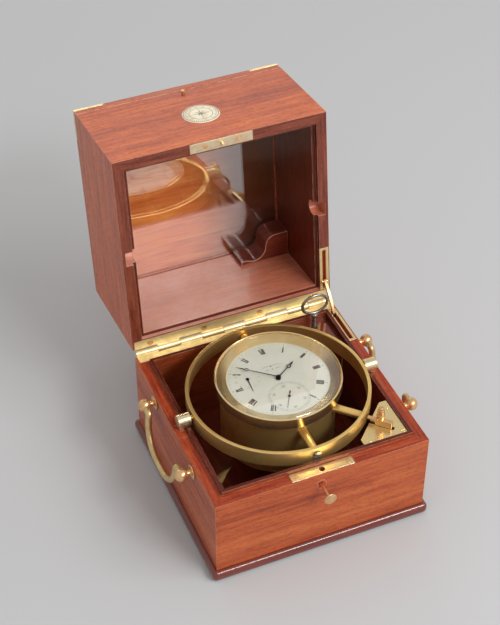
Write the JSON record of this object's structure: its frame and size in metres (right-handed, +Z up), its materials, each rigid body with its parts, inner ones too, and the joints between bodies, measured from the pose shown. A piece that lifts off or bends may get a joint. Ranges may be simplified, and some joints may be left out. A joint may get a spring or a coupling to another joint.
{
  "type": "marine chronometer",
  "caption": "Gimballed marine chronometer in a three-tier brass-bound mahogany box, with hinged glazed tier, drop handles, gimbal lock, key and a fusee movement",
  "frame": {"origin": "centre of the underside of the bottom board", "axes": "+X to the right of the dial, +Y from VI to XII towards the hinges, +Z up"},
  "size_m": [0.2162, 0.326, 0.2687],
  "materials": {
    "mahogany": "french-polished mahogany",
    "red_wood": "red-stained turned wood",
    "fittings_brass": "worn polished brass",
    "lacquered_brass": "spun and lacquered brass",
    "movement_brass": "spotted movement brass",
    "coppery_brass": "tarnished coppery brass",
    "steel": "polished steel",
    "blued_steel": "blued steel",
    "silvered_dial": "silvered brass, matt",
    "crystal": "flat clear glass",
    "box_glass": "flat clear glass",
    "bone": "old bone, engraved and blacked in"
  },
  "bodies": {
    "case": {"lower_case_walls": "mahogany", "bottom_board": "mahogany", "front_corner_block": "mahogany", "key_corner_block": "mahogany", "lock_plate": "fittings_brass", "button_bush": "red_wood", "handle_post_left_front": "fittings_brass", "handle_post_left_rear": "fittings_brass", "handle_post_right_front": "fittings_brass", "handle_post_right_rear": "fittings_brass", "hinge_leaf_lower": "fittings_brass", "hinge_pin": "fittings_brass", "stay_plate_lower": "fittings_brass", "gimbal_bearing_left": "fittings_brass", "gimbal_bearing_right": "fittings_brass", "lock_corner_plate": "fittings_brass"},
    "lid": {"middle_tier_walls": "mahogany", "glass_pane": "box_glass", "glass_bead": "mahogany", "key_bracket": "mahogany", "strike_plate": "fittings_brass", "number_roundel": "bone", "hinge_leaf_upper": "fittings_brass", "stay_plate_upper": "fittings_brass", "top_hinge_lower": "fittings_brass"},
    "top_lid": {"top_lid": "mahogany", "corner_strap_left": "fittings_brass", "corner_strap_right": "fittings_brass", "top_hinge_upper": "fittings_brass"},
    "stay": {"stay_arm": "coppery_brass"},
    "catch_button": {"top_catch_button": "coppery_brass"},
    "button": {"release_button": "coppery_brass"},
    "left_bail": {"bail_left": "fittings_brass"},
    "right_bail": {"bail_right": "fittings_brass"},
    "ring": {"gimbal_ring": "lacquered_brass", "bowl_pivot_front": "lacquered_brass", "bowl_pivot_rear": "lacquered_brass"},
    "bowl": {"bowl": "lacquered_brass", "bezel": "lacquered_brass", "crystal": "crystal", "dial": "silvered_dial", "pillar_plate": "movement_brass", "top_plate": "movement_brass", "balance_cock": "movement_brass"},
    "shutter": {"dust_shutter": "lacquered_brass"},
    "bolt": {"lock_bolt": "coppery_brass"},
    "thumbscrew": {"lock_thumbscrew": "coppery_brass"},
    "key": {"winding_key": "steel"},
    "fourth_arbor": {"fourth_wheel": "movement_brass", "seconds_hand": "blued_steel"},
    "third_arbor": {"third_wheel": "movement_brass"},
    "centre_arbor": {"centre_wheel": "movement_brass", "minute_hand": "blued_steel"},
    "hour_pipe": {"hour_hand": "blued_steel"},
    "escape_arbor": {"escape_wheel": "movement_brass"},
    "balance": {"balance_wheel": "movement_brass"},
    "detent": {"detent": "steel"},
    "fusee": {"fusee": "movement_brass"},
    "barrel": {"spring_barrel": "movement_brass"},
    "up_down": {"up_down_hand": "blued_steel"}
  },
  "joints": [
    {"name": "lid_hinge", "type": "hinge", "parent": "case", "child": "lid", "pos_m": [0, 0.0946, 0.085], "axis": [1, 0, 0], "range_deg": [0, 97]},
    {"name": "stay_pivot", "type": "hinge", "parent": "lid", "child": "stay", "pos_m": [0.087, 0.09716, 0.10584], "axis": [1, 0, 0], "range_deg": [-145, 0]},
    {"name": "top_lid_hinge", "type": "hinge", "parent": "lid", "child": "top_lid", "pos_m": [0, 0.18605, 0.07528], "axis": [1, 0, 0], "range_deg": [-100, 0]},
    {"name": "top_catch_press", "type": "slide", "parent": "lid", "child": "catch_button", "axis": [0, -0.1219, -0.9925], "range_m": [0, 0.0015], "stiffness_N_per_m": 150},
    {"name": "release_press", "type": "slide", "parent": "case", "child": "button", "axis": [0, 1, 0], "range_m": [0, 0.004], "stiffness_N_per_m": 150},
    {"name": "left_bail_swing", "type": "hinge", "parent": "case", "child": "left_bail", "pos_m": [-0.1015, 0, 0.077], "axis": [0, 1, 0], "range_deg": [-18, 160]},
    {"name": "right_bail_swing", "type": "hinge", "parent": "case", "child": "right_bail", "pos_m": [0.1015, 0, 0.077], "axis": [0, -1, 0], "range_deg": [-18, 160]},
    {"name": "ring_swing", "type": "hinge", "parent": "case", "child": "ring", "pos_m": [0, 0, 0.092], "axis": [1, 0, 0], "range_deg": [-45, 45]},
    {"name": "bowl_swing", "type": "hinge", "parent": "ring", "child": "bowl", "pos_m": [0, 0, 0.092], "axis": [0, 1, 0], "range_deg": [-180, 180]},
    {"name": "shutter_turn", "type": "hinge", "parent": "bowl", "child": "shutter", "pos_m": [0, 0, 0.044], "axis": [0, 0, 1], "range_deg": [0, 45]},
    {"name": "lock_slide", "type": "slide", "parent": "case", "child": "bolt", "axis": [-0.7071, 0.7071, 0], "range_m": [0, 0.007]},
    {"name": "thumbscrew_turn", "type": "hinge", "parent": "bolt", "child": "thumbscrew", "pos_m": [0.06223, -0.06223, 0.092], "axis": [0, 0, -1], "range_deg": [0, 180]},
    {"name": "key_lift", "type": "slide", "parent": "case", "child": "key", "axis": [0, 0, -1], "range_m": [-0.045, 0]},
    {"name": "fourth_wheel_turn", "type": "hinge", "parent": "bowl", "child": "fourth_arbor", "pos_m": [0, -0.02226, 0.09], "axis": [0, 0, -1], "continuous": true},
    {"name": "third_wheel_turn", "type": "hinge", "parent": "bowl", "child": "third_arbor", "pos_m": [0.0106, -0.0104, 0.09], "axis": [0, 0, -1], "continuous": true},
    {"name": "centre_wheel_turn", "type": "hinge", "parent": "bowl", "child": "centre_arbor", "pos_m": [0, 0, 0.09], "axis": [0, 0, -1], "continuous": true},
    {"name": "hour_hand_turn", "type": "hinge", "parent": "bowl", "child": "hour_pipe", "pos_m": [0, 0, 0.1081], "axis": [0, 0, -1], "continuous": true},
    {"name": "escape_wheel_turn", "type": "hinge", "parent": "bowl", "child": "escape_arbor", "pos_m": [-0.011, -0.0147, 0.09], "axis": [0, 0, -1], "continuous": true},
    {"name": "balance_swing", "type": "hinge", "parent": "bowl", "child": "balance", "pos_m": [-0.008, -0.008, 0.09], "axis": [0, 0, -1], "range_deg": [-220, 220], "stiffness_Nm_per_rad": 0.00002},
    {"name": "detent_flex", "type": "hinge", "parent": "bowl", "child": "detent", "pos_m": [-0.0191, -0.031, 0.086], "axis": [0, 0, 1], "range_deg": [0, 2], "stiffness_Nm_per_rad": 0.002},
    {"name": "fusee_wind", "type": "hinge", "parent": "bowl", "child": "fusee", "pos_m": [-0.016, 0.014, 0.09], "axis": [0, 0, -1], "range_deg": [-720, 1800]},
    {"name": "barrel_turn", "type": "hinge", "parent": "bowl", "child": "barrel", "pos_m": [0.019, 0.018, 0.09], "axis": [0, 0, -1], "range_deg": [-720, 1800]},
    {"name": "up_down_turn", "type": "hinge", "parent": "bowl", "child": "up_down", "pos_m": [-0.0235, 0.0085, 0.1074], "axis": [0, 0, -1], "range_deg": [-80, 200]}
  ],
  "couplings": [
    {"joint": "stay_pivot", "follows": "lid_hinge", "ratio": -1.4827},
    {"joint": "third_wheel_turn", "follows": "fourth_wheel_turn", "ratio": -0.13333},
    {"joint": "centre_wheel_turn", "follows": "fourth_wheel_turn", "ratio": 0.016667},
    {"joint": "hour_hand_turn", "follows": "fourth_wheel_turn", "ratio": 0.0013889},
    {"joint": "escape_wheel_turn", "follows": "fourth_wheel_turn", "ratio": -8},
    {"joint": "barrel_turn", "follows": "fusee_wind", "ratio": 1},
    {"joint": "up_down_turn", "follows": "fusee_wind", "ratio": 0.11}
  ]
}
